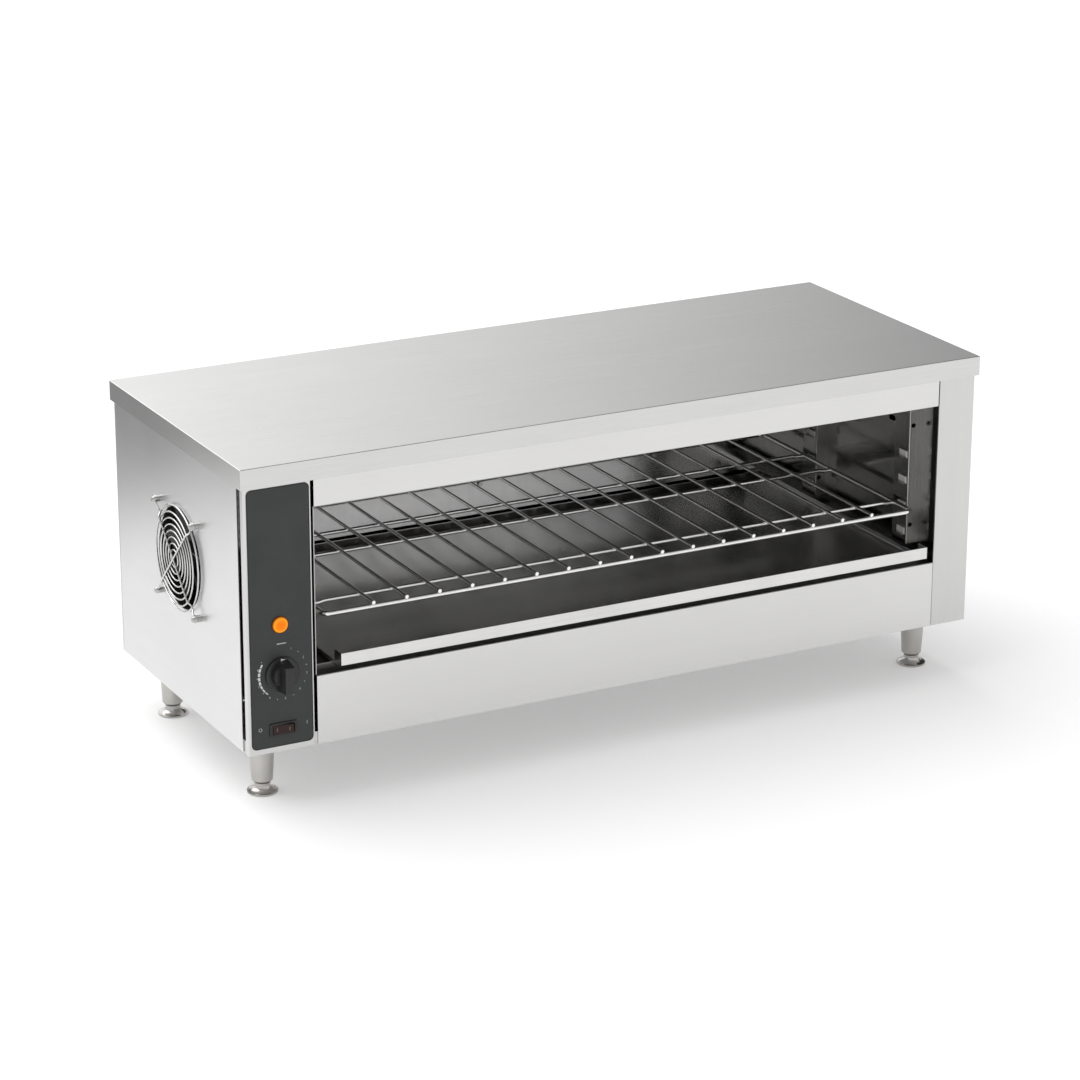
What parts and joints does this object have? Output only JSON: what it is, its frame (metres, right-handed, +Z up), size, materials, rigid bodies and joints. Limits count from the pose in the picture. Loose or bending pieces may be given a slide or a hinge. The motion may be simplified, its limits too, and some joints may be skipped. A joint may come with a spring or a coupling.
{
  "type": "countertop cheese melter",
  "caption": "Countertop cheese melter: an open-fronted stainless cabinet on adjustable legs, with overhead elements, a wire rack, a crumb tray and a fan-cooled control column.",
  "frame": {"origin": "on the floor under the centre of the whole outline", "axes": "+X to the right seen from the front, +Y towards the back, +Z up"},
  "size_m": [0.9212, 0.3928, 0.3855],
  "materials": {
    "outer_steel": "fine horizontal brushing",
    "cavity_steel": "bright rolled sheet, slightly heat-tinted",
    "wire_chrome": "bright plated wire",
    "leg_chrome": "polished",
    "screw_zinc": "bright zinc plate",
    "element_sheath": "oxidised sheath, white ends",
    "overlay_film": "fine matte film",
    "knob_black": "satin black",
    "switch_black": "satin black",
    "rocker_red": "dark red",
    "lens_amber": "translucent amber",
    "fan_black": "moulded black",
    "body_plastic": "moulded dark grey",
    "terminal_white": "unglazed",
    "insulation": "matted fibre"
  },
  "bodies": {
    "cabinet": {"base_pan": "outer_steel", "left_side_panel": "outer_steel", "right_side_panel": "outer_steel", "back_panel": "outer_steel", "top_cover": "outer_steel", "control_column": "outer_steel", "control_overlay": "overlay_film", "right_front_post": "outer_steel", "upper_fascia": "outer_steel", "lower_front_panel": "outer_steel", "cavity_left_wall": "cavity_steel", "cavity_right_wall": "cavity_steel", "cavity_back_wall": "cavity_steel", "cavity_ceiling": "cavity_steel", "cavity_floor": "cavity_steel", "top_insulation": "insulation", "rack_post_front_left": "cavity_steel", "rack_post_front_right": "cavity_steel", "rack_post_rear_left": "cavity_steel", "rack_post_rear_right": "cavity_steel", "rack_post_screws": "screw_zinc", "back_wall_stays": "screw_zinc", "rear_screws": "screw_zinc", "heating_element_front": "element_sheath", "heating_element_rear": "element_sheath", "element_hangers": "cavity_steel", "fan_frame": "fan_black", "fan_guard": "wire_chrome", "guard_standoffs": "screw_zinc", "guard_screws": "screw_zinc", "fan_nuts": "screw_zinc", "pilot_lamp_lens": "lens_amber", "pilot_lamp_body": "body_plastic", "thermostat_body": "body_plastic", "rocker_switch_body": "switch_black", "cord_gland": "body_plastic", "gland_nut": "body_plastic", "terminal_block": "terminal_white", "leg_nuts": "screw_zinc", "leg_front_left": "leg_chrome", "leg_front_right": "leg_chrome", "leg_rear_left": "leg_chrome", "leg_rear_right": "leg_chrome"},
    "crumb_tray": {"crumb_tray": "cavity_steel"},
    "wire_rack": {"wire_rack": "wire_chrome"},
    "control_knob": {"control_knob": "knob_black", "thermostat_shaft": "screw_zinc"},
    "switch_rocker": {"switch_rocker": "rocker_red"},
    "fan_rotor": {"fan_rotor": "fan_black"},
    "foot_front_left": {"foot_front_left": "leg_chrome"},
    "foot_front_right": {"foot_front_right": "leg_chrome"},
    "foot_rear_left": {"foot_rear_left": "leg_chrome"},
    "foot_rear_right": {"foot_rear_right": "leg_chrome"}
  },
  "joints": [
    {"name": "tray_slide", "type": "slide", "parent": "cabinet", "child": "crumb_tray", "axis": [0, -1, 0], "range_m": [0, 0.33]},
    {"name": "rack_slide", "type": "slide", "parent": "cabinet", "child": "wire_rack", "axis": [0, -1, 0], "range_m": [0, 0.3]},
    {"name": "knob_turn", "type": "hinge", "parent": "cabinet", "child": "control_knob", "pos_m": [-0.4104, -0.17465, 0.1536], "axis": [0, 1, 0], "range_deg": [0, 300]},
    {"name": "rocker_tilt", "type": "hinge", "parent": "cabinet", "child": "switch_rocker", "pos_m": [-0.4104, -0.17165, 0.0917], "axis": [0, 0, 1], "range_deg": [0, 16]},
    {"name": "fan_spin", "type": "hinge", "parent": "cabinet", "child": "fan_rotor", "pos_m": [-0.44545, 0.00225, 0.234], "axis": [1, 0, 0], "continuous": true},
    {"name": "foot_front_left_adjust", "type": "slide", "parent": "cabinet", "child": "foot_front_left", "axis": [0, 0, -1], "range_m": [0, 0.025]},
    {"name": "foot_front_right_adjust", "type": "slide", "parent": "cabinet", "child": "foot_front_right", "axis": [0, 0, -1], "range_m": [0, 0.025]},
    {"name": "foot_rear_left_adjust", "type": "slide", "parent": "cabinet", "child": "foot_rear_left", "axis": [0, 0, -1], "range_m": [0, 0.025]},
    {"name": "foot_rear_right_adjust", "type": "slide", "parent": "cabinet", "child": "foot_rear_right", "axis": [0, 0, -1], "range_m": [0, 0.025]}
  ]
}
